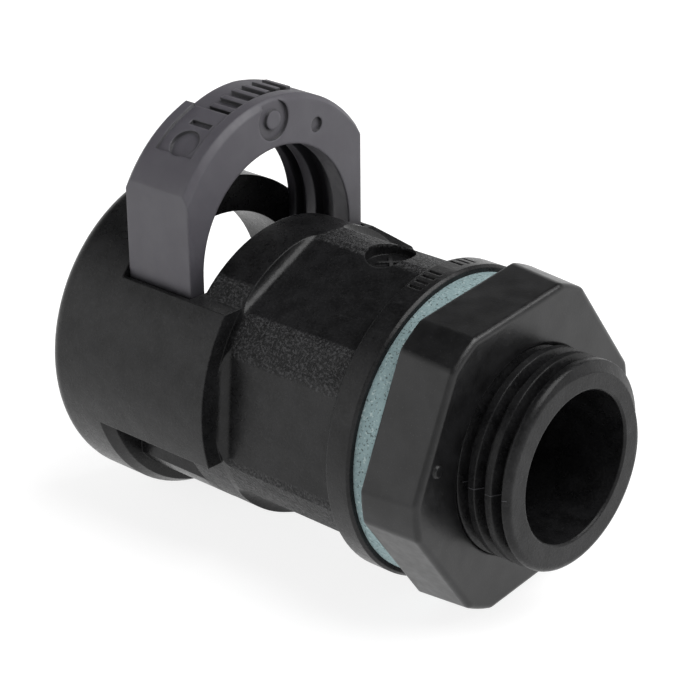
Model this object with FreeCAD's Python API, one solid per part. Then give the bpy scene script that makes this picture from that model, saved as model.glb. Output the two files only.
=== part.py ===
"""Straight conduit gland with a slide-in locking clip, M16x1.5 thread.

Frame: +X runs along the axis towards the free end of the thread, x = 0 is the
collar's sealing face, +Z is the side that the locking clip slides in from.
The clip is drawn raised (open), as the gland is supplied.  Millimetres.
"""
import FreeCAD
import Part
import math
import os

Vector = FreeCAD.Vector
AXIS = Vector(1, 0, 0)
ORIGIN = Vector(0, 0, 0)

# Thread, shared by the housing and the lock nut
THREAD_RADIUS = 8.0
THREAD_PITCH = 1.5
THREAD_DEPTH = 0.85
THREAD_CREST = 0.55
THREAD_ROOT = 0.30
THREAD_CLEARANCE = 0.08
THREAD_START = 0.75
THREAD_END = 11.1
THREAD_TIP_ROUND = 0.6
THREAD_OVERCUT = 0.4

# Housing, along the axis
REAR_X = -30.9
SLOT_REAR_X = -24.85
SLOT_FRONT_X = -17.85
SHOULDER_X = -13.85
FLATS_FRONT_X = -2.3
SOCKET_END_X = -12.0
SEAL_SEAT_X = -14.9

# Housing, across the axis
SHELL_RADIUS = 12.95
BODY_REAR_RADIUS = 11.6
BODY_FRONT_RADIUS = 11.7
COLLAR_RADIUS = 12.1
RING_BORE_RADIUS = 10.0
SOCKET_RADIUS = 9.45
SOCKET_LEAD_IN = 0.5
SEAL_SEAT_RADIUS = 10.2
BORE_RADIUS = 5.8
BORE_MOUTH_CHAMFER = 0.15
FLATS_REAR_ACROSS = 21.3
FLATS_FRONT_ACROSS = 21.4
FLATS_TILT = 4.5
SHOULDER_FILLET = 0.8
REAR_ROUND = 1.3
REAR_ENTRY_CHAMFER = 0.7
RING_LIP_LENGTH = 1.0
RING_LIP_DEPTH = 0.5
COLLAR_CHAMFER = 0.2
BODY_REAR_CHAMFER = 0.2

# Side cheeks that cover the clip's legs
CHEEK_TOP_Z = 8.05
CHEEK_BOTTOM_Z = -3.8
CHEEK_INNER_Y = 9.85
FAR_CHEEK_CUT_LENGTH = 3.5
FAR_CHEEK_CUT_HEIGHT = 1.1
WEB_RADIUS = 11.62
WEB_HALF_WIDTH = 9.0
WEB_TOP_Z = -4.3

# Locking clip, sized in its closed place, where its arch is centred on the axis
CLIP_TRAVEL = 9.25
CLIP_REAR_X = -24.65
CLIP_FRONT_X = -18.05
CLIP_HALF_WIDTH = 9.52
CLIP_ARCH_RADIUS = 8.1
CLIP_GROOVE_RADIUS = 9.0
CLIP_LEG_END_Z = -3.4
CLIP_TONGUE_END_Z = -7.0
CLIP_TONGUE_INNER_Y = 9.05
CLIP_RIBS = ((-24.65, -23.8), (-22.7, -21.6), (-19.7, -18.05))

# The clip's crown is an arc about its own centre, given as (Y, Z)
CROWN_CENTRE = (0.2, 0.25)
CROWN_RADIUS = 11.67
CROWN_CHAMFER_LENGTH = 0.5
CROWN_CHAMFER_DEPTH = 0.4

# Label recesses on the crown; angles lean from the top towards +Y
LABEL_FRONT_X = -19.5
SHALLOW_LABEL_REAR_X = -23.25
SHALLOW_LABEL_ANGLES = (-42.0, -18.0)
SHALLOW_LABEL_DEPTH = 0.18
DEEP_LABEL_ANGLES = (-18.0, 40.0)
DEEP_LABEL_FLOOR_CENTRE = (1.8, -0.18)
DEEP_LABEL_FLOOR_RADIUS = 11.5
LABEL_BAR_ANGLES = (-19.0, -13.0, -7.0, -1.5, 4.0, 9.5)
LABEL_BAR_X = (-22.8, -20.3)
LABEL_BAR_WIDTH = 0.5
LABEL_BAR_HEIGHT = 0.32
LABEL_DOT_ANGLE = -36.5
LABEL_DOT_X = -21.1
LABEL_DOT_RADIUS = 1.25
LABEL_DASH_ANGLE = -26.5
LABEL_DASH_X = (-22.1, -20.0)

# Moulding marks
FACE_DIAL_CENTRE = (-0.2, 10.3)
FACE_DIAL_RADIUS = 1.6
FACE_DIAL_BOSS_RADIUS = 0.75
FACE_SPOT_CENTRE = (4.5, 8.7)
FACE_SPOT_RADIUS = 0.6
MARK_DEPTH = 0.25
TOP_DIAL_CENTRE = (-6.9, 0.4)
TOP_DIAL_RADIUS = 1.9
TOP_DIAL_FLOOR_Z = 10.7
TOP_DIAL_BAR_LENGTH = 2.2
TOP_DIAL_BAR_WIDTH = 0.3
TOP_DIAL_BAR_HEIGHT = 0.2
COLLAR_BAR_ANGLES = (-16.0, -12.5, -9.0, -5.5, 6.0, 9.5, 13.0)
COLLAR_BAR_X = (-1.9, -0.7)
COLLAR_BAR_WIDTH = 0.3
COLLAR_BAR_DEPTH = 0.15
NUT_SPOT_ANGLE = 12.0
NUT_SPOT_DISTANCE = 10.3
NUT_SPOT_RADIUS = 0.45
NUT_SPOT_HEIGHT = 0.15

# Seals
SEAL_INNER_RADIUS = 9.3
SEAL_LIP_RADIUS = 8.9
SEAL_LIP_HALF_WIDTH = 0.5
SEAL_LENGTH = 2.2
GASKET_THICKNESS = 1.8
GASKET_RADIUS = 11.55
GASKET_BORE_RADIUS = 8.1

# Lock nut
NUT_THICKNESS = 4.8
NUT_REAR_ACROSS = 23.2
NUT_FRONT_ACROSS = 22.7
NUT_REAR_CORNER_RADIUS = 12.7
NUT_FRONT_CORNER_RADIUS = 12.35
NUT_CORNER_ROUND = 1.0
NUT_TILT = 24.0
NUT_EDGE_ROUND = 0.45
NUT_BORE_CHAMFER = 0.8

SMALL = 0.01
OVERSHOOT = 2.0


def cylinder(radius, start, end):
    """A solid cylinder on the axis between two places along it."""
    return Part.makeCylinder(radius, end - start, Vector(start, 0, 0), AXIS)


def cone(start_radius, end_radius, start, end):
    """A solid cone on the axis between two places along it."""
    return Part.makeCone(start_radius, end_radius, end - start, Vector(start, 0, 0), AXIS)


def box(low, high):
    """A box between two corners."""
    size = [b - a for a, b in zip(low, high)]
    return Part.makeBox(size[0], size[1], size[2], Vector(*low))


def revolved(points):
    """A solid turned about the axis from (along, radius) points."""
    corners = [Vector(along, 0, radius) for along, radius in points]
    outline = Part.Face(Part.makePolygon(corners + corners[:1]))
    return outline.revolve(ORIGIN, AXIS, 360)


def hexagon(across_flats, along, tilt):
    """A hexagon across the axis; tilt turns a flat's centre up from the -Y side."""
    corner_radius = across_flats / 2 / math.cos(math.pi / 6)
    corners = []
    for index in range(6):
        angle = math.radians(tilt + 30 + 60 * index)
        corners.append(Vector(along, -corner_radius * math.cos(angle), corner_radius * math.sin(angle)))
    return Part.makePolygon(corners + corners[:1])


def sector(start_angle, end_angle, start, end):
    """A wedge about the axis between two angles, measured from the top towards +Y."""
    reach = 2 * SHELL_RADIUS
    corners = [Vector(start, 0, 0)]
    for angle in (start_angle, end_angle):
        lean = math.radians(angle)
        corners.append(Vector(start, reach * math.sin(lean), reach * math.cos(lean)))
    outline = Part.Face(Part.makePolygon(corners + corners[:1]))
    return outline.extrude(Vector(end - start, 0, 0))


def moved_across(shape, centre):
    """The shape moved across the axis to a (Y, Z) centre."""
    shape.translate(Vector(0, centre[0], centre[1]))
    return shape


def radial_bar(angle, width, low, high, start, end):
    """A bar along the axis that stands between two radii, at an angle from the top."""
    bar = box((start, -width / 2, low), (end, width / 2, high))
    bar.rotate(ORIGIN, AXIS, -angle)
    return bar


def spanner_flats():
    """A slightly tapered hexagonal bar, wider towards the collar."""
    rear = hexagon(FLATS_REAR_ACROSS, SHOULDER_X, FLATS_TILT)
    front = hexagon(FLATS_FRONT_ACROSS, FLATS_FRONT_X, FLATS_TILT)
    return Part.makeLoft([rear, front], True, True)


def thread_groove(start, end, root_radius, top_radius, root_width, top_width, phase):
    """A helical cutter; phase is the groove centre's place along the axis at the +Z side."""
    turns_back = math.ceil((phase - start) / THREAD_PITCH)
    first = phase - turns_back * THREAD_PITCH
    height = end - first
    helix = Part.makeLongHelix(THREAD_PITCH, height, root_radius, 0)
    profile = Part.makePolygon([
        Vector(root_radius, 0, -root_width / 2),
        Vector(top_radius, 0, -top_width / 2),
        Vector(top_radius, 0, top_width / 2),
        Vector(root_radius, 0, root_width / 2),
        Vector(root_radius, 0, -root_width / 2),
    ])
    sweep = Part.BRepOffsetAPI.MakePipeShell(Part.Wire(helix.Edges))
    sweep.setBiNormalMode(Vector(0, 0, 1))
    sweep.add(profile, False, False)
    sweep.build()
    sweep.makeSolid()
    groove = sweep.shape()
    groove.rotate(ORIGIN, Vector(0, 1, 0), 90)
    groove.rotate(ORIGIN, AXIS, 180)
    groove.translate(Vector(first, 0, 0))
    return groove


def threaded_stud():
    """The male thread: a bar with a rounded tip and a helical groove."""
    stud = cylinder(THREAD_RADIUS, -SMALL, THREAD_END)
    tip_edge = [edge for edge in stud.Edges if abs(edge.CenterOfMass.x - THREAD_END) < SMALL]
    stud = stud.makeFillet(THREAD_TIP_ROUND, tip_edge)
    flank = (THREAD_PITCH - THREAD_CREST - THREAD_ROOT) / 2
    slope = flank / THREAD_DEPTH
    cutter = thread_groove(
        THREAD_START,
        THREAD_END + 2 * THREAD_PITCH,
        THREAD_RADIUS - THREAD_DEPTH,
        THREAD_RADIUS + THREAD_OVERCUT,
        THREAD_ROOT,
        THREAD_ROOT + 2 * slope * (THREAD_DEPTH + THREAD_OVERCUT),
        THREAD_START + THREAD_PITCH,
    )
    return stud.cut(cutter)


def outer_shell():
    """The rear ring and its shell, with the rounded rear rim."""
    shell = cylinder(SHELL_RADIUS, REAR_X, SHOULDER_X)
    rear_rim = [edge for edge in shell.Edges if abs(edge.CenterOfMass.x - REAR_X) < SMALL]
    shell = shell.makeFillet(REAR_ROUND, rear_rim)
    for low_z, high_z in ((CHEEK_TOP_Z, 2 * SHELL_RADIUS), (-2 * SHELL_RADIUS, CHEEK_BOTTOM_Z)):
        window = box(
            (SLOT_REAR_X, -2 * SHELL_RADIUS, low_z),
            (SHOULDER_X + OVERSHOOT, 2 * SHELL_RADIUS, high_z),
        )
        shell = shell.cut(window)
    return shell.cut([ring_lip_cut(), far_cheek_cut()])


def ring_lip_cut():
    """The bevel under the clip's slot, on the ring's lower front edge."""
    start = SLOT_REAR_X - RING_LIP_LENGTH
    lip = cylinder(SHELL_RADIUS + 1, start, SLOT_REAR_X)
    lip = lip.cut(cone(SHELL_RADIUS, SHELL_RADIUS - RING_LIP_DEPTH, start, SLOT_REAR_X))
    below = box((start, -SHELL_RADIUS, -2 * SHELL_RADIUS), (SLOT_REAR_X, SHELL_RADIUS, CHEEK_BOTTOM_Z))
    return lip.common(below)


def far_cheek_cut():
    """The slanting cut across the +Y cheek's top front corner."""
    corners = [
        Vector(SHOULDER_X - FAR_CHEEK_CUT_LENGTH, 0, CHEEK_TOP_Z),
        Vector(SHOULDER_X, 0, CHEEK_TOP_Z),
        Vector(SHOULDER_X, 0, CHEEK_TOP_Z - FAR_CHEEK_CUT_HEIGHT),
    ]
    outline = Part.Face(Part.makePolygon(corners + corners[:1]))
    return outline.extrude(Vector(0, SHELL_RADIUS, 0))


def flats_waste():
    """What the spanner flats take off the round body, rounded where they run out at the shoulder."""
    waste = cylinder(COLLAR_RADIUS + 1, SHOULDER_X, FLATS_FRONT_X).cut(spanner_flats())
    run_outs = [edge for edge in waste.Edges if is_run_out(edge)]
    return waste.makeFillet(SHOULDER_FILLET, run_outs)


def is_run_out(edge):
    """Whether an edge is a straight one at the shoulder."""
    return len(edge.Vertexes) == 2 and abs(edge.CenterOfMass.x - SHOULDER_X) < SMALL


def spanner_body():
    """The front body: a round bar with six spanner flats behind its wider collar."""
    body = revolved([
        (SLOT_FRONT_X, 0),
        (SLOT_FRONT_X, BODY_REAR_RADIUS - BODY_REAR_CHAMFER),
        (SLOT_FRONT_X + BODY_REAR_CHAMFER, BODY_REAR_RADIUS),
        (FLATS_FRONT_X, BODY_FRONT_RADIUS),
        (FLATS_FRONT_X, COLLAR_RADIUS - COLLAR_CHAMFER),
        (FLATS_FRONT_X + COLLAR_CHAMFER, COLLAR_RADIUS),
        (-COLLAR_CHAMFER, COLLAR_RADIUS),
        (0, COLLAR_RADIUS - COLLAR_CHAMFER),
        (0, 0),
    ])
    return body.cut(flats_waste())


def bottom_web():
    """The web under the clip's slot that joins the rear ring to the body."""
    web = cylinder(WEB_RADIUS, SLOT_REAR_X - 1, SLOT_FRONT_X + 1)
    space = box(
        (SLOT_REAR_X - 1, -WEB_HALF_WIDTH, -2 * WEB_RADIUS),
        (SLOT_FRONT_X + 1, WEB_HALF_WIDTH, WEB_TOP_Z),
    )
    return web.common(space)


def clip_slot():
    """The space that the clip slides in, between the ring and the body."""
    upper = box((SLOT_REAR_X, -CHEEK_INNER_Y, WEB_TOP_Z), (SLOT_FRONT_X, CHEEK_INNER_Y, 2 * SHELL_RADIUS))
    slot = upper
    for side in (-1, 1):
        edges = sorted((side * WEB_HALF_WIDTH, side * CHEEK_INNER_Y))
        pocket = box((SLOT_REAR_X, edges[0], -2 * SHELL_RADIUS), (SLOT_FRONT_X, edges[1], WEB_TOP_Z))
        slot = slot.fuse(pocket)
    return slot


def bores():
    """The ring's bore, the conduit socket with its seal seat, and the wire bore."""
    ring_bore = cylinder(RING_BORE_RADIUS, REAR_X - 1, SLOT_FRONT_X)
    mouth = cone(
        RING_BORE_RADIUS + REAR_ENTRY_CHAMFER + 1,
        RING_BORE_RADIUS,
        REAR_X - 1,
        REAR_X + REAR_ENTRY_CHAMFER,
    )
    lead_in = cone(
        SOCKET_RADIUS + SOCKET_LEAD_IN,
        SOCKET_RADIUS,
        SLOT_FRONT_X - SMALL,
        SLOT_FRONT_X + SOCKET_LEAD_IN,
    )
    socket = cylinder(SOCKET_RADIUS, SLOT_FRONT_X - 1, SOCKET_END_X)
    seat = cylinder(SEAL_SEAT_RADIUS, SEAL_SEAT_X, SEAL_SEAT_X + SEAL_LENGTH)
    wire_bore = cylinder(BORE_RADIUS, SOCKET_END_X - 1, THREAD_END + 1)
    wire_mouth = cone(
        BORE_RADIUS,
        BORE_RADIUS + BORE_MOUTH_CHAMFER + 1,
        THREAD_END - BORE_MOUTH_CHAMFER,
        THREAD_END + 1,
    )
    return ring_bore.fuse([mouth, lead_in, socket, seat, wire_bore, wire_mouth])


def housing_marks():
    """A round dial sunk into the top of the body and short bars sunk into the collar."""
    dial_x, dial_y = TOP_DIAL_CENTRE
    floor = Vector(dial_x, dial_y, TOP_DIAL_FLOOR_Z)
    marks = [Part.makeCylinder(TOP_DIAL_RADIUS, 2 * OVERSHOOT, floor, Vector(0, 0, 1))]
    low = COLLAR_RADIUS - COLLAR_BAR_DEPTH
    for angle in COLLAR_BAR_ANGLES:
        marks.append(radial_bar(angle, COLLAR_BAR_WIDTH, low, low + 1, *COLLAR_BAR_X))
    return marks


def top_dial_cross():
    """Two low crossed bars on the floor of the top dial."""
    dial_x, dial_y = TOP_DIAL_CENTRE
    centre = Vector(dial_x, dial_y, TOP_DIAL_FLOOR_Z)
    half = TOP_DIAL_BAR_LENGTH / 2
    side = TOP_DIAL_BAR_WIDTH / 2
    bars = []
    for angle in (45, 135):
        bar = box((-half, -side, -TOP_DIAL_BAR_HEIGHT), (half, side, TOP_DIAL_BAR_HEIGHT))
        bar.rotate(ORIGIN, Vector(0, 0, 1), angle)
        bar.translate(centre)
        bars.append(bar)
    return bars


def housing():
    """The black moulding."""
    shell = outer_shell().cut(clip_slot())
    solid = shell.fuse([spanner_body(), bottom_web(), threaded_stud()])
    solid = solid.cut([bores()] + housing_marks())
    return solid.fuse(top_dial_cross()).removeSplitter()


def raised(shape):
    """Lift a shape from the clip's closed place to its open place."""
    shape.translate(Vector(0, 0, CLIP_TRAVEL))
    return shape


def crown():
    """The clip's round outside with its chamfered front and rear edges."""
    front = CLIP_FRONT_X - CROWN_CHAMFER_LENGTH
    rear = CLIP_REAR_X + CROWN_CHAMFER_LENGTH
    edge_radius = CROWN_RADIUS - CROWN_CHAMFER_DEPTH
    outside = revolved([
        (CLIP_REAR_X, 0),
        (CLIP_REAR_X, edge_radius),
        (rear, CROWN_RADIUS),
        (front, CROWN_RADIUS),
        (CLIP_FRONT_X, edge_radius),
        (CLIP_FRONT_X, 0),
    ])
    floor = cylinder(CROWN_RADIUS - SHALLOW_LABEL_DEPTH, SHALLOW_LABEL_REAR_X, LABEL_FRONT_X)
    shallow = sector(*SHALLOW_LABEL_ANGLES, SHALLOW_LABEL_REAR_X, LABEL_FRONT_X)
    outside = moved_across(outside.cut(shallow.cut(floor)), CROWN_CENTRE)
    floor = moved_across(
        cylinder(DEEP_LABEL_FLOOR_RADIUS, CLIP_REAR_X - 1, LABEL_FRONT_X),
        DEEP_LABEL_FLOOR_CENTRE,
    )
    deep = moved_across(sector(*DEEP_LABEL_ANGLES, CLIP_REAR_X - 1, LABEL_FRONT_X), CROWN_CENTRE)
    return outside.cut(deep.cut(floor))


def label_marks():
    """Plain bars that stand on the deep label's floor."""
    marks = []
    top = DEEP_LABEL_FLOOR_RADIUS + LABEL_BAR_HEIGHT
    for angle in LABEL_BAR_ANGLES:
        bar = radial_bar(angle, LABEL_BAR_WIDTH, top - 1, top, *LABEL_BAR_X)
        marks.append(moved_across(bar, DEEP_LABEL_FLOOR_CENTRE))
    return marks


def label_cuts():
    """A round dimple and a dash sunk into the shallow label."""
    low = CROWN_RADIUS - SHALLOW_LABEL_DEPTH - MARK_DEPTH
    dot = Part.makeCylinder(LABEL_DOT_RADIUS, 2, Vector(LABEL_DOT_X, 0, low), Vector(0, 0, 1))
    dot.rotate(ORIGIN, AXIS, -LABEL_DOT_ANGLE)
    dash = radial_bar(LABEL_DASH_ANGLE, LABEL_BAR_WIDTH, low, low + 2, *LABEL_DASH_X)
    return [moved_across(dot, CROWN_CENTRE), moved_across(dash, CROWN_CENTRE)]


def face_marks():
    """A round dial with a boss and a small spot sunk into the clip's front face."""
    start = CLIP_FRONT_X - MARK_DEPTH
    dial = cylinder(FACE_DIAL_RADIUS, start, CLIP_FRONT_X + 1)
    dial = dial.cut(cylinder(FACE_DIAL_BOSS_RADIUS, start - 1, CLIP_FRONT_X + 1))
    spot = cylinder(FACE_SPOT_RADIUS, start, CLIP_FRONT_X + 1)
    return [moved_across(dial, FACE_DIAL_CENTRE), moved_across(spot, FACE_SPOT_CENTRE)]


def clip_outline():
    """The clip's outside: the crown cut to flat sides, with the legs below it."""
    sides = box(
        (CLIP_REAR_X, -CLIP_HALF_WIDTH, 0),
        (CLIP_FRONT_X, CLIP_HALF_WIDTH, 2 * CROWN_RADIUS),
    )
    legs = box(
        (CLIP_REAR_X, -CLIP_HALF_WIDTH, CLIP_TONGUE_END_Z),
        (CLIP_FRONT_X, CLIP_HALF_WIDTH, 0),
    )
    return crown().common(sides).fuse(legs)


def arch_space(radius, start, end):
    """The space inside the clip's arch: round on top with straight sides below."""
    arch = cylinder(radius, start, end)
    below = box((start, -radius, 2 * CLIP_TONGUE_END_Z), (end, radius, 0))
    return arch.fuse(below)


def locking_clip():
    """The grey horseshoe clip with ribs that drop into the conduit's grooves."""
    clip = clip_outline()
    clip = clip.cut(arch_space(CLIP_ARCH_RADIUS, CLIP_REAR_X - 1, CLIP_FRONT_X + 1))
    for (_, groove_start), (groove_end, _) in zip(CLIP_RIBS[:-1], CLIP_RIBS[1:]):
        clip = clip.cut(arch_space(CLIP_GROOVE_RADIUS, groove_start, groove_end))
    between_tongues = box(
        (CLIP_REAR_X - 1, -CLIP_TONGUE_INNER_Y, 2 * CLIP_TONGUE_END_Z),
        (CLIP_FRONT_X + 1, CLIP_TONGUE_INNER_Y, CLIP_LEG_END_Z),
    )
    clip = clip.cut([between_tongues] + label_cuts() + face_marks())
    clip = clip.fuse(label_marks())
    return raised(clip.removeSplitter())


def conduit_seal():
    """The soft ring at the end of the socket that seals on the conduit."""
    start = SEAL_SEAT_X
    end = SEAL_SEAT_X + SEAL_LENGTH
    middle = (start + end) / 2
    return revolved([
        (start, SEAL_SEAT_RADIUS),
        (end, SEAL_SEAT_RADIUS),
        (end, SEAL_INNER_RADIUS),
        (middle + SEAL_LIP_HALF_WIDTH, SEAL_INNER_RADIUS),
        (middle, SEAL_LIP_RADIUS),
        (middle - SEAL_LIP_HALF_WIDTH, SEAL_INNER_RADIUS),
        (start, SEAL_INNER_RADIUS),
    ])


def panel_gasket():
    """The flat washer that seals the collar to the panel."""
    gasket = cylinder(GASKET_RADIUS, 0, GASKET_THICKNESS)
    return gasket.cut(cylinder(GASKET_BORE_RADIUS, -1, GASKET_THICKNESS + 1))


def lock_nut():
    """The hexagonal nut, narrower in front, with shortened corners and a female thread."""
    start = GASKET_THICKNESS
    end = start + NUT_THICKNESS
    rear = hexagon(NUT_REAR_ACROSS, start, NUT_TILT)
    front = hexagon(NUT_FRONT_ACROSS, end, NUT_TILT)
    nut = Part.makeLoft([rear, front], True, True)
    nut = nut.common(cone(NUT_REAR_CORNER_RADIUS, NUT_FRONT_CORNER_RADIUS, start, end))
    corners = [edge for edge in nut.Edges if SMALL < edge.CenterOfMass.x - start < NUT_THICKNESS - SMALL]
    nut = nut.makeFillet(NUT_CORNER_ROUND, corners)
    front_rim = [edge for edge in nut.Edges if abs(edge.CenterOfMass.x - end) < SMALL]
    nut = nut.makeFillet(NUT_EDGE_ROUND, front_rim)
    minor_radius = THREAD_RADIUS - THREAD_DEPTH + THREAD_CLEARANCE
    nut = nut.cut(cylinder(minor_radius, start - 1, end + 1))
    flank = (THREAD_PITCH - THREAD_CREST - THREAD_ROOT) / 2
    slope = flank / THREAD_DEPTH
    gap = 2 * THREAD_CLEARANCE
    cutter = thread_groove(
        start - 2 * THREAD_PITCH,
        end + 2 * THREAD_PITCH,
        minor_radius - THREAD_OVERCUT,
        THREAD_RADIUS + THREAD_CLEARANCE,
        THREAD_CREST + 2 * slope * (THREAD_DEPTH + THREAD_OVERCUT) + gap,
        THREAD_CREST + gap,
        THREAD_START + THREAD_PITCH / 2,
    )
    nut = nut.cut(cutter)
    mouth = minor_radius + NUT_BORE_CHAMFER + 1
    nut = nut.cut(cone(minor_radius, mouth + THREAD_CLEARANCE, end - NUT_BORE_CHAMFER, end + 1))
    nut = nut.cut(cone(mouth + THREAD_CLEARANCE, minor_radius, start - 1, start + NUT_BORE_CHAMFER))
    lean = math.radians(NUT_SPOT_ANGLE)
    spot = cylinder(NUT_SPOT_RADIUS, end - 1, end + NUT_SPOT_HEIGHT)
    place = (-NUT_SPOT_DISTANCE * math.cos(lean), NUT_SPOT_DISTANCE * math.sin(lean))
    return nut.fuse(moved_across(spot, place))


SUBPARTS = {
    "housing": housing,
    "locking_clip": locking_clip,
    "conduit_seal": conduit_seal,
    "panel_gasket": panel_gasket,
    "lock_nut": lock_nut,
}

os.makedirs("parts", exist_ok=True)
for name, make in SUBPARTS.items():
    shape = make()
    solid_volume = sum(solid.Volume for solid in shape.Solids)
    print(name, "solids", len(shape.Solids), "valid", shape.isValid(), "volume", round(solid_volume, 1))
    shape.exportStep("parts/" + name + ".step")
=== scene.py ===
"""Conduit gland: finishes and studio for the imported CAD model. Metres, in the CAD frame."""
import math

import bmesh
import bpy
from mathutils import Matrix, Vector
from mathutils.bvhtree import BVHTree


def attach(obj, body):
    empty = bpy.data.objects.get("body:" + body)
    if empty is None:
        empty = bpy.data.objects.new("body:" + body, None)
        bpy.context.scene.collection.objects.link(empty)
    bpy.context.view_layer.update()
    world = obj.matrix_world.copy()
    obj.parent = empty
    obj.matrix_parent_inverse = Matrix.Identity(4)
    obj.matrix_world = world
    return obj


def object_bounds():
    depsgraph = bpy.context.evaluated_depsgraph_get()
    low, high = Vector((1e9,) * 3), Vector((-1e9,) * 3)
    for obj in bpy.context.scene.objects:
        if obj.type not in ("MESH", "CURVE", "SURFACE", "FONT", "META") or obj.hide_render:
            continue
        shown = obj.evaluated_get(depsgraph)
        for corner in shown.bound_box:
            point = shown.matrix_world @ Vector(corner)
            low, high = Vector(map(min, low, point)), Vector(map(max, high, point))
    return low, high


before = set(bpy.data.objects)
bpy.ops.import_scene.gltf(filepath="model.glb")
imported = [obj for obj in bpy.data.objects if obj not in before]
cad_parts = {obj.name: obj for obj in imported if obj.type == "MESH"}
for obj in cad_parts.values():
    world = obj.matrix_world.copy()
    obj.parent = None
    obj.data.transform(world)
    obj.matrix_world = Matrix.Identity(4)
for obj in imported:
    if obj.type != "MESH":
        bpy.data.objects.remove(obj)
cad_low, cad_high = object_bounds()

MM = 0.001

# Camera: from in front of the threaded end, on the -Y side and above
CAMERA_PLACE = Vector((0.10153, -0.12336, 0.07989))
CAMERA_RIGHT = Vector((0.7423, 0.6701, -0.0083))
CAMERA_FORWARD = Vector((-0.6106, 0.6712, -0.4202))
CAMERA_LENS = 123.7
CAMERA_NEAR = 0.01
CAMERA_FAR = 10.0
SENSOR_WIDTH = 36.0

# Colours, linear
BLACK = (0.0042, 0.0042, 0.0045)
BLACK_LIGHT = (0.0085, 0.0085, 0.0090)
BLACK_FLECK = (0.060, 0.060, 0.062)
GREY = (0.067, 0.064, 0.075)
GREY_DARK = (0.056, 0.052, 0.063)
GREY_WORN = (0.110, 0.106, 0.118)
GREY_SHADED = (0.010, 0.010, 0.012)
TEAL = (0.235, 0.325, 0.335)
TEAL_DARK = (0.15, 0.22, 0.23)
TEAL_FIBRE = (0.48, 0.57, 0.57)
TEAL_SPECK = (0.060, 0.085, 0.085)
RUBBER = (0.016, 0.016, 0.017)
RUBBER_DUST = (0.045, 0.045, 0.046)
WHITE = (1.0, 1.0, 1.0)

# Gloss: specular level and roughness; two roughnesses are a patchy surface's lowest and highest
BODY_SPECULAR = 0.24
THREAD_SPECULAR = 0.19
NUT_SPECULAR = 0.40
BODY_ROUGHNESS = (0.25, 0.34)
GRAIN_ROUGHNESS = 0.10
NUT_ROUGHNESS = (0.28, 0.34)
CLIP_ROUGHNESS = (0.46, 0.56)
GASKET_ROUGHNESS = 0.8
SEAL_ROUGHNESS = (0.62, 0.80)

# How far edges are rounded off and how far from them they are worn, in millimetres
BODY_EDGE = 0.14
NUT_EDGE = 0.22
CLIP_EDGE = 0.28
CLIP_WORN_EDGE = 0.18
GASKET_EDGE = 0.10
SEAL_EDGE = 0.12

# The openness below which an edge starts to be worn or a hollow gets painted shade, and where it is in
# full
WORN_FROM, WORN_TO = 0.95, 0.55
SHADED_FROM, SHADED_TO = 0.90, 0.45
CLIP_HOLLOW_REACH = 6.0
PROBE_SAMPLES = 6

# The grain lies on the body's round strips: its places along and across the axis, in millimetres
GRAIN_REAR = (-13.4, -13.1)
GRAIN_FRONT = (-2.6, -2.4)
GRAIN_INSIDE = (11.35, 11.50)
GRAIN_OUTSIDE = (11.80, 11.95)
FAINT_GRAIN = 0.12

# Behind the shoulder only a patch low beside each cheek is grained: its ends along and upwards
PATCH_REAR = (-18.0, -17.9)
PATCH_FRONT = (-14.0, -13.85)
PATCH_TOP = (9.1, 9.5)

# The thread is smoother and darker than the rest: where that starts along the axis, in millimetres
THREAD_ZONE = (1.0, 2.0)

# Parting lines of the mould across the thread: angles up from the -Y side, the rest in millimetres
PARTING_ANGLES = (3.0, 183.0)
PARTING_START = 6.8
PARTING_END = 10.9
PARTING_STEP = 0.04
PARTING_HEIGHT = 0.035
PARTING_SINK = 0.03
# Their rays start clear of the thread, and their half width is the width at that distance
PARTING_RAY_START = 9.0
PARTING_HALF_WIDTH = 0.07

# Floor, in metres, and its finish
FLOOR_REACH = 3.0
FLOOR_COLOUR = (0.36, 0.36, 0.36)
FLOOR_PATCHES = (0.38, 0.38, 0.38)
FLOOR_ROUGHNESS = 0.9
FLOOR_SPECULAR = 0.1
FLOOR_GLOW = 0.82

# Lamps: places and side in metres, power in watts
LAMP_TARGET = (-0.010, 0.0, 0.0)
LAMP_SIZE = 0.60
TOP_LIGHT_PLACE = (0.30, 0.16, 0.60)
TOP_LIGHT_POWER = 5.8
SIDE_LIGHT_PLACE = (-0.42, -0.52, 0.30)
SIDE_LIGHT_POWER = 0.70

# Walls and ceiling: how bright they are, and the heights between which one turns into the other,
# where 0 is level and 1 is straight up
WALL_GLOW = 0.90
CEILING_GLOW = 0.07
WALL_TOP = 0.25
CEILING_START = 0.62


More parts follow.
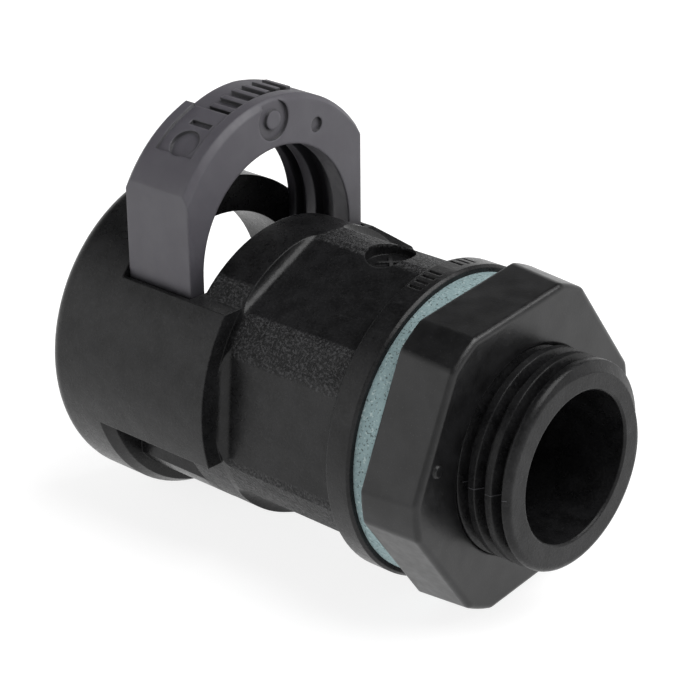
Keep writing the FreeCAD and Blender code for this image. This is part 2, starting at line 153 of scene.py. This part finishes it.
class Finish:
    """A material under construction: its node tree with short ways to add to it."""

    def __init__(self, name):
        self.material = bpy.data.materials.new(name)
        self.material.use_nodes = True
        self.nodes = self.material.node_tree.nodes
        self.links = self.material.node_tree.links
        self.shader = self.nodes["Principled BSDF"]
        metres = self.nodes.new("ShaderNodeTexCoord")
        scaled = self.nodes.new("ShaderNodeVectorMath")
        scaled.operation = "SCALE"
        scaled.inputs["Scale"].default_value = 1 / MM
        self.links.new(metres.outputs["Object"], scaled.inputs[0])
        self.millimetres = scaled.outputs[0]

    def put(self, value, socket):
        """Sets an input to a number or colour, or links another node's output to it."""
        if isinstance(value, bpy.types.NodeSocket):
            self.links.new(value, socket)
        elif isinstance(value, tuple) and len(value) == 3 and socket.type == "RGBA":
            socket.default_value = (*value, 1.0)
        else:
            socket.default_value = value

    def set(self, name, value):
        """Gives the shader's named input a number, a colour or another node's output."""
        self.put(value, self.shader.inputs[name])

    def noise(self, per_mm, detail=2.0, roughness=0.5, stretch=None):
        """Soft noise with features of about 1 / per_mm millimetres."""
        where = self.millimetres
        if stretch is not None:
            mapping = self.nodes.new("ShaderNodeMapping")
            mapping.inputs["Scale"].default_value = stretch
            self.links.new(where, mapping.inputs["Vector"])
            where = mapping.outputs["Vector"]
        texture = self.nodes.new("ShaderNodeTexNoise")
        texture.inputs["Scale"].default_value = per_mm
        texture.inputs["Detail"].default_value = detail
        texture.inputs["Roughness"].default_value = roughness
        self.links.new(where, texture.inputs["Vector"])
        return texture.outputs["Fac"]

    def ramp(self, value, limits, result=(0.0, 1.0)):
        """Maps the span between two limits to the span between two results, smoothly and clamped."""
        node = self.nodes.new("ShaderNodeMapRange")
        node.interpolation_type = "SMOOTHSTEP"
        self.put(value, node.inputs["Value"])
        node.inputs["From Min"].default_value = limits[0]
        node.inputs["From Max"].default_value = limits[1]
        node.inputs["To Min"].default_value = result[0]
        node.inputs["To Max"].default_value = result[1]
        return node.outputs["Result"]

    def past(self, value, limits):
        """1 where a value is past both limits and 0 before them."""
        return self.ramp(value, limits)

    def before(self, value, limits):
        """1 where a value is before both limits and 0 past them."""
        return self.ramp(value, limits, (1.0, 0.0))

    def patches(self, limits, per_mm, detail=2.0, roughness=0.5, stretch=None, result=(0.0, 1.0)):
        """Noise as patches, from the first result below the limits to the second above them."""
        return self.ramp(self.noise(per_mm, detail, roughness, stretch), limits, result)

    def math(self, operation, first, second):
        """Arithmetic on two values."""
        node = self.nodes.new("ShaderNodeMath")
        node.operation = operation
        self.put(first, node.inputs[0])
        self.put(second, node.inputs[1])
        return node.outputs[0]

    def product(self, first, *others):
        """Several masks multiplied together."""
        for other in others:
            first = self.math("MULTIPLY", first, other)
        return first

    def mix(self, amount, first, second):
        """A colour between two, or between two other outputs."""
        node = self.nodes.new("ShaderNodeMix")
        node.data_type = "RGBA"
        self.put(amount, node.inputs["Factor"])
        self.put(first, node.inputs["A"])
        self.put(second, node.inputs["B"])
        return node.outputs["Result"]

    def lay(self, second, amount, mask, first):
        """A share of a second colour laid over the first one where the mask is 1."""
        return self.mix(self.product(mask, amount), first, second)

    def place(self, axis):
        """The place along one axis of the frame, in millimetres."""
        node = self.nodes.new("ShaderNodeSeparateXYZ")
        self.links.new(self.millimetres, node.inputs[0])
        return node.outputs[axis]

    def across(self):
        """The distance from the gland's axis, in millimetres."""
        flat = self.nodes.new("ShaderNodeVectorMath")
        flat.operation = "MULTIPLY"
        self.links.new(self.millimetres, flat.inputs[0])
        flat.inputs[1].default_value = (0.0, 1.0, 1.0)
        node = self.nodes.new("ShaderNodeVectorMath")
        node.operation = "LENGTH"
        self.links.new(flat.outputs["Vector"], node.inputs[0])
        return node.outputs["Value"]

    def rounded(self, radius_mm):
        """The surface direction with every sharp edge rounded off."""
        node = self.nodes.new("ShaderNodeBevel")
        node.samples = PROBE_SAMPLES
        node.inputs["Radius"].default_value = radius_mm * MM
        return node.outputs["Normal"]

    def openness(self, reach_mm, inside):
        """1 in the open and less in corners: hollow ones, or outer edges if looked at from inside."""
        node = self.nodes.new("ShaderNodeAmbientOcclusion")
        node.inside = inside
        node.only_local = inside
        node.samples = PROBE_SAMPLES
        node.inputs["Distance"].default_value = reach_mm * MM
        return node.outputs["AO"]

    def worn(self, reach_mm, limits, per_mm):
        """Patchy on outer edges, from 0.1 to 0.8, and 0 on faces and in inner corners."""
        edges = self.ramp(self.openness(reach_mm, True), (WORN_FROM, WORN_TO))
        return self.product(edges, self.patches(limits, per_mm, result=(0.1, 0.8)))

    def painted_hollow_shade(self, reach_mm):
        """Painted shade: 1 deep in a hollow and 0 in the open."""
        return self.ramp(self.openness(reach_mm, False), (SHADED_FROM, SHADED_TO))

    def bump(self, height, depth_mm, strength, normal):
        """Relief of depth_mm laid over a normal."""
        node = self.nodes.new("ShaderNodeBump")
        node.inputs["Distance"].default_value = depth_mm * MM
        self.put(strength, node.inputs["Strength"])
        self.links.new(height, node.inputs["Height"])
        self.links.new(normal, node.inputs["Normal"])
        return node.outputs["Normal"]


def grained_strips(finish):
    """1 on the body's round strips, and a trace of it on the smooth flats, ring and thread."""
    along = finish.place("X")
    upwards = finish.place("Z")
    across = finish.across()
    patch = finish.product(
        finish.past(along, PATCH_REAR),
        finish.before(along, PATCH_FRONT),
        finish.before(upwards, PATCH_TOP),
    )
    strips = finish.product(
        finish.math("MAXIMUM", patch, finish.past(along, GRAIN_REAR)),
        finish.before(along, GRAIN_FRONT),
        finish.past(across, GRAIN_INSIDE),
        finish.before(across, GRAIN_OUTSIDE),
    )
    return finish.math("MAXIMUM", strips, FAINT_GRAIN)


def black_nylon():
    """Glass-filled nylon: sandy on the body's round strips, whose pale flecks are grain and also painted
    sheen, smooth on the flats, ring and thread.
    """
    finish = Finish("black_nylon")
    grainy = grained_strips(finish)
    thread = finish.past(finish.place("X"), THREAD_ZONE)
    blotches = finish.patches((0.35, 0.65), per_mm=0.7, detail=3.0)
    sand_and_sheen = finish.patches((0.46, 0.66), per_mm=5.2, roughness=0.7)
    lengthways = (0.35, 1.0, 1.0)
    scuffs = finish.patches((0.62, 0.74), per_mm=1.6, detail=3.0, roughness=0.6, stretch=lengthways)
    wear = finish.worn(BODY_EDGE, (0.45, 0.75), per_mm=2.5)
    colour = finish.mix(blotches, BLACK, BLACK_LIGHT)
    # Pale flecks on the grained strips and the patch beside each cheek: real grain, laid on thickly as
    # painted sheen for the light these strips catch
    colour = finish.lay(BLACK_FLECK, 0.75, finish.product(sand_and_sheen, grainy), colour)
    colour = finish.lay(BLACK_FLECK, 0.12, scuffs, colour)
    colour = finish.lay(BLACK_FLECK, 0.35, wear, colour)
    finish.set("Base Color", colour)
    finish.set("Specular IOR Level", finish.ramp(thread, (0.0, 1.0), (BODY_SPECULAR, THREAD_SPECULAR)))
    rough = finish.patches((0.3, 0.7), per_mm=3.0, detail=3.0, result=BODY_ROUGHNESS)
    finish.set("Roughness", finish.math("ADD", rough, finish.product(grainy, GRAIN_ROUGHNESS)))
    waves = finish.noise(per_mm=0.35, detail=1.0)
    grains = finish.noise(per_mm=4.4, detail=3.0, roughness=0.7)
    normal = finish.bump(waves, 0.12, 0.5, finish.rounded(BODY_EDGE))
    finish.set("Normal", finish.bump(grains, 0.17, grainy, normal))
    return finish.material


def nut_nylon():
    """Smoother, glossier nylon with faint flow lines."""
    finish = Finish("nut_nylon")
    blotches = finish.patches((0.35, 0.65), per_mm=0.5, detail=3.0)
    flecks = finish.patches((0.66, 0.76), per_mm=9.0, detail=1.0, roughness=0.6)
    wear = finish.worn(NUT_EDGE, (0.4, 0.7), per_mm=2.0)
    colour = finish.mix(blotches, BLACK, BLACK_LIGHT)
    colour = finish.lay(BLACK_FLECK, 0.3, flecks, colour)
    colour = finish.lay(BLACK_FLECK, 0.3, wear, colour)
    finish.set("Base Color", colour)
    finish.set("Specular IOR Level", NUT_SPECULAR)
    finish.set("Roughness", finish.patches((0.3, 0.7), per_mm=1.6, detail=3.0, result=NUT_ROUGHNESS))
    waves = finish.noise(per_mm=0.3, detail=1.0)
    grains = finish.noise(per_mm=6.0, roughness=0.6)
    normal = finish.bump(waves, 0.15, 0.5, finish.rounded(NUT_EDGE))
    finish.set("Normal", finish.bump(grains, 0.010, 0.6, normal))
    return finish.material


def grey_polymer():
    """Satin moulded plastic with faint machining haze from its mould, and painted shade darkening its
    hollows.
    """
    finish = Finish("grey_polymer")
    blotches = finish.patches((0.3, 0.7), per_mm=0.4, detail=3.0)
    haze = finish.patches((0.35, 0.7), per_mm=3.0, detail=3.0, roughness=0.6, stretch=(1.0, 1.0, 0.25))
    wear = finish.worn(CLIP_WORN_EDGE, (0.4, 0.7), per_mm=2.2)
    colour = finish.mix(blotches, GREY_DARK, GREY)
    colour = finish.lay(GREY_WORN, 0.12, haze, colour)
    colour = finish.lay(GREY_WORN, 0.35, wear, colour)
    # Painted shade: the clip's hollows, such as the inside of the arch, are darkened towards GREY_SHADED
    colour = finish.lay(GREY_SHADED, 0.85, finish.painted_hollow_shade(CLIP_HOLLOW_REACH), colour)
    finish.set("Base Color", colour)
    finish.set("Roughness", finish.ramp(haze, (0.0, 1.0), CLIP_ROUGHNESS))
    waves = finish.noise(per_mm=0.3, detail=1.0)
    grains = finish.noise(per_mm=9.0, roughness=0.6)
    normal = finish.bump(waves, 0.10, 0.5, finish.rounded(CLIP_EDGE))
    finish.set("Normal", finish.bump(grains, 0.006, 0.6, normal))
    return finish.material


def gasket_fibre():
    """Pressed fibre sheet with pale fibres and small dark specks."""
    finish = Finish("gasket_fibre")
    blotches = finish.patches((0.35, 0.65), per_mm=1.1, detail=3.0)
    dark = finish.patches((0.50, 0.66), per_mm=4.5, roughness=0.6)
    pale = finish.patches((0.56, 0.70), per_mm=4.0, roughness=0.6, stretch=(1.0, 1.3, 0.8))
    specks = finish.patches((0.61, 0.68), per_mm=5.5, detail=1.0)
    colour = finish.lay(TEAL_DARK, 0.25, blotches, TEAL)
    colour = finish.lay(TEAL_DARK, 0.45, dark, colour)
    colour = finish.lay(TEAL_FIBRE, 0.6, pale, colour)
    colour = finish.lay(TEAL_SPECK, 0.9, specks, colour)
    finish.set("Base Color", colour)
    finish.set("Roughness", GASKET_ROUGHNESS)
    fibres = finish.noise(per_mm=5.0, detail=3.0, roughness=0.7)
    finish.set("Normal", finish.bump(fibres, 0.04, 0.9, finish.rounded(GASKET_EDGE)))
    return finish.material


def seal_rubber():
    """Matte black rubber with a little talc."""
    finish = Finish("seal_rubber")
    dust = finish.patches((0.5, 0.75), per_mm=2.0, detail=4.0, roughness=0.65)
    finish.set("Base Color", finish.mix(dust, RUBBER, RUBBER_DUST))
    finish.set("Roughness", finish.ramp(dust, (0.0, 1.0), SEAL_ROUGHNESS))
    grains = finish.noise(per_mm=8.0)
    finish.set("Normal", finish.bump(grains, 0.01, 0.6, finish.rounded(SEAL_EDGE)))
    return finish.material


def finish_nodes():
    """Gives every CAD node its finish."""
    finishes = {
        "housing": black_nylon(),
        "locking_clip": grey_polymer(),
        "conduit_seal": seal_rubber(),
        "panel_gasket": gasket_fibre(),
        "lock_nut": nut_nylon(),
    }
    for name, material in finishes.items():
        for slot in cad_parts[name].material_slots:
            slot.material = material


def surface_radius(tree, along, angle):
    """How far the housing reaches from the axis, in millimetres, at a place along and an angle round."""
    outwards = Vector((0.0, -math.cos(angle), math.sin(angle)))
    start = outwards * (PARTING_RAY_START * MM) + Vector((along * MM, 0.0, 0.0))
    hit = tree.ray_cast(start, -outwards)[0]
    return math.hypot(hit.y, hit.z) / MM


def ridge_sections(tree, degrees):
    """The corners of a parting line's section at each step along the thread, in metres."""
    middle = math.radians(degrees)
    lean = PARTING_HALF_WIDTH / PARTING_RAY_START
    corners = (
        (-lean, -PARTING_SINK),
        (0.0, PARTING_HEIGHT),
        (lean, -PARTING_SINK),
        (0.0, -2 * PARTING_SINK),
    )
    steps = round((PARTING_END - PARTING_START) / PARTING_STEP)
    sections = []
    for step in range(steps + 1):
        along = PARTING_START + step * PARTING_STEP
        radius = surface_radius(tree, along, middle)
        section = []
        for turn, height in corners:
            reach = (radius + height) * MM
            angle = middle + turn
            section.append((along * MM, -reach * math.cos(angle), reach * math.sin(angle)))
        sections.append(section)
    return sections


def joined_mesh(name, sections):
    """A closed mesh through a row of sections."""
    mesh = bmesh.new()
    rows = [[mesh.verts.new(corner) for corner in section] for section in sections]
    for row, following in zip(rows[:-1], rows[1:]):
        for side in range(len(row)):
            after = (side + 1) % len(row)
            mesh.faces.new((row[side], row[after], following[after], following[side]))
    mesh.faces.new(rows[0])
    mesh.faces.new(rows[-1])
    bmesh.ops.recalc_face_normals(mesh, faces=mesh.faces)
    data = bpy.data.meshes.new(name)
    mesh.to_mesh(data)
    mesh.free()
    return data


def parting_line(name, tree, degrees):
    """The thin ridge that the mould's joint leaves over the thread's crests and roots."""
    data = joined_mesh(name, ridge_sections(tree, degrees))
    piece = bpy.data.objects.new(name, data)
    bpy.context.scene.collection.objects.link(piece)
    data.materials.append(bpy.data.materials["black_nylon"])
    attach(piece, "body")


def parting_lines():
    """The mould's two parting lines, on opposite sides of the thread."""
    housing = bmesh.new()
    housing.from_mesh(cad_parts["housing"].data)
    tree = BVHTree.FromBMesh(housing)
    for index, degrees in enumerate(PARTING_ANGLES):
        parting_line("thread_parting_line_" + str(index + 1), tree, degrees)
    housing.free()


def camera():
    """The camera, in front of the threaded end."""
    data = bpy.data.cameras.new("camera")
    data.lens = CAMERA_LENS
    data.sensor_width = SENSOR_WIDTH
    data.clip_start = CAMERA_NEAR
    data.clip_end = CAMERA_FAR
    thing = bpy.data.objects.new("camera", data)
    back = -CAMERA_FORWARD.normalized()
    right = CAMERA_RIGHT.normalized()
    up = back.cross(right).normalized()
    right = up.cross(back)
    turn = Matrix((right, up, back)).transposed().to_4x4()
    thing.matrix_world = Matrix.Translation(CAMERA_PLACE) @ turn
    bpy.context.scene.collection.objects.link(thing)
    bpy.context.scene.camera = thing


def floor_finish():
    """Pale and matte, with a faint mottle, and bright enough to look white."""
    finish = Finish("floor")
    mottle = finish.patches((0.3, 0.7), per_mm=0.02)
    finish.set("Base Color", finish.mix(mottle, FLOOR_COLOUR, FLOOR_PATCHES))
    finish.set("Roughness", FLOOR_ROUGHNESS)
    finish.set("Specular IOR Level", FLOOR_SPECULAR)
    finish.set("Emission Color", WHITE)
    finish.set("Emission Strength", FLOOR_GLOW)
    return finish.material


def floor():
    """A plain pale floor under the lowest point."""
    level = cad_low[2]
    corners = [
        (-FLOOR_REACH, -FLOOR_REACH, level),
        (FLOOR_REACH, -FLOOR_REACH, level),
        (FLOOR_REACH, FLOOR_REACH, level),
        (-FLOOR_REACH, FLOOR_REACH, level),
    ]
    mesh = bpy.data.meshes.new("floor")
    mesh.from_pydata(corners, [], [(0, 1, 2, 3)])
    mesh.materials.append(floor_finish())
    thing = bpy.data.objects.new("floor", mesh)
    bpy.context.scene.collection.objects.link(thing)


def softbox(name, place, power):
    """A large square lamp that faces the gland."""
    data = bpy.data.lights.new(name, "AREA")
    data.shape = "SQUARE"
    data.size = LAMP_SIZE
    data.energy = power
    thing = bpy.data.objects.new(name, data)
    thing.location = place
    aim = Vector(LAMP_TARGET) - Vector(place)
    thing.rotation_mode = "QUATERNION"
    thing.rotation_quaternion = aim.to_track_quat("-Z", "Y")
    bpy.context.scene.collection.objects.link(thing)


def room():
    """Soft light from all round: pale walls that fade into a dark ceiling."""
    world = bpy.data.worlds.new("studio")
    bpy.context.scene.world = world
    world.use_nodes = True
    nodes, links = world.node_tree.nodes, world.node_tree.links
    direction = nodes.new("ShaderNodeTexCoord")
    split = nodes.new("ShaderNodeSeparateXYZ")
    links.new(direction.outputs["Generated"], split.inputs[0])
    fade = nodes.new("ShaderNodeMapRange")
    fade.interpolation_type = "SMOOTHSTEP"
    links.new(split.outputs["Z"], fade.inputs["Value"])
    fade.inputs["From Min"].default_value = WALL_TOP
    fade.inputs["From Max"].default_value = CEILING_START
    fade.inputs["To Min"].default_value = WALL_GLOW
    fade.inputs["To Max"].default_value = CEILING_GLOW
    links.new(fade.outputs["Result"], nodes["Background"].inputs["Strength"])
    nodes["Background"].inputs["Color"].default_value = (*WHITE, 1.0)


camera()
finish_nodes()
parting_lines()
floor()
softbox("top_light", TOP_LIGHT_PLACE, TOP_LIGHT_POWER)
softbox("side_light", SIDE_LIGHT_PLACE, SIDE_LIGHT_POWER)
room()
bpy.context.scene.view_settings.view_transform = "Standard"
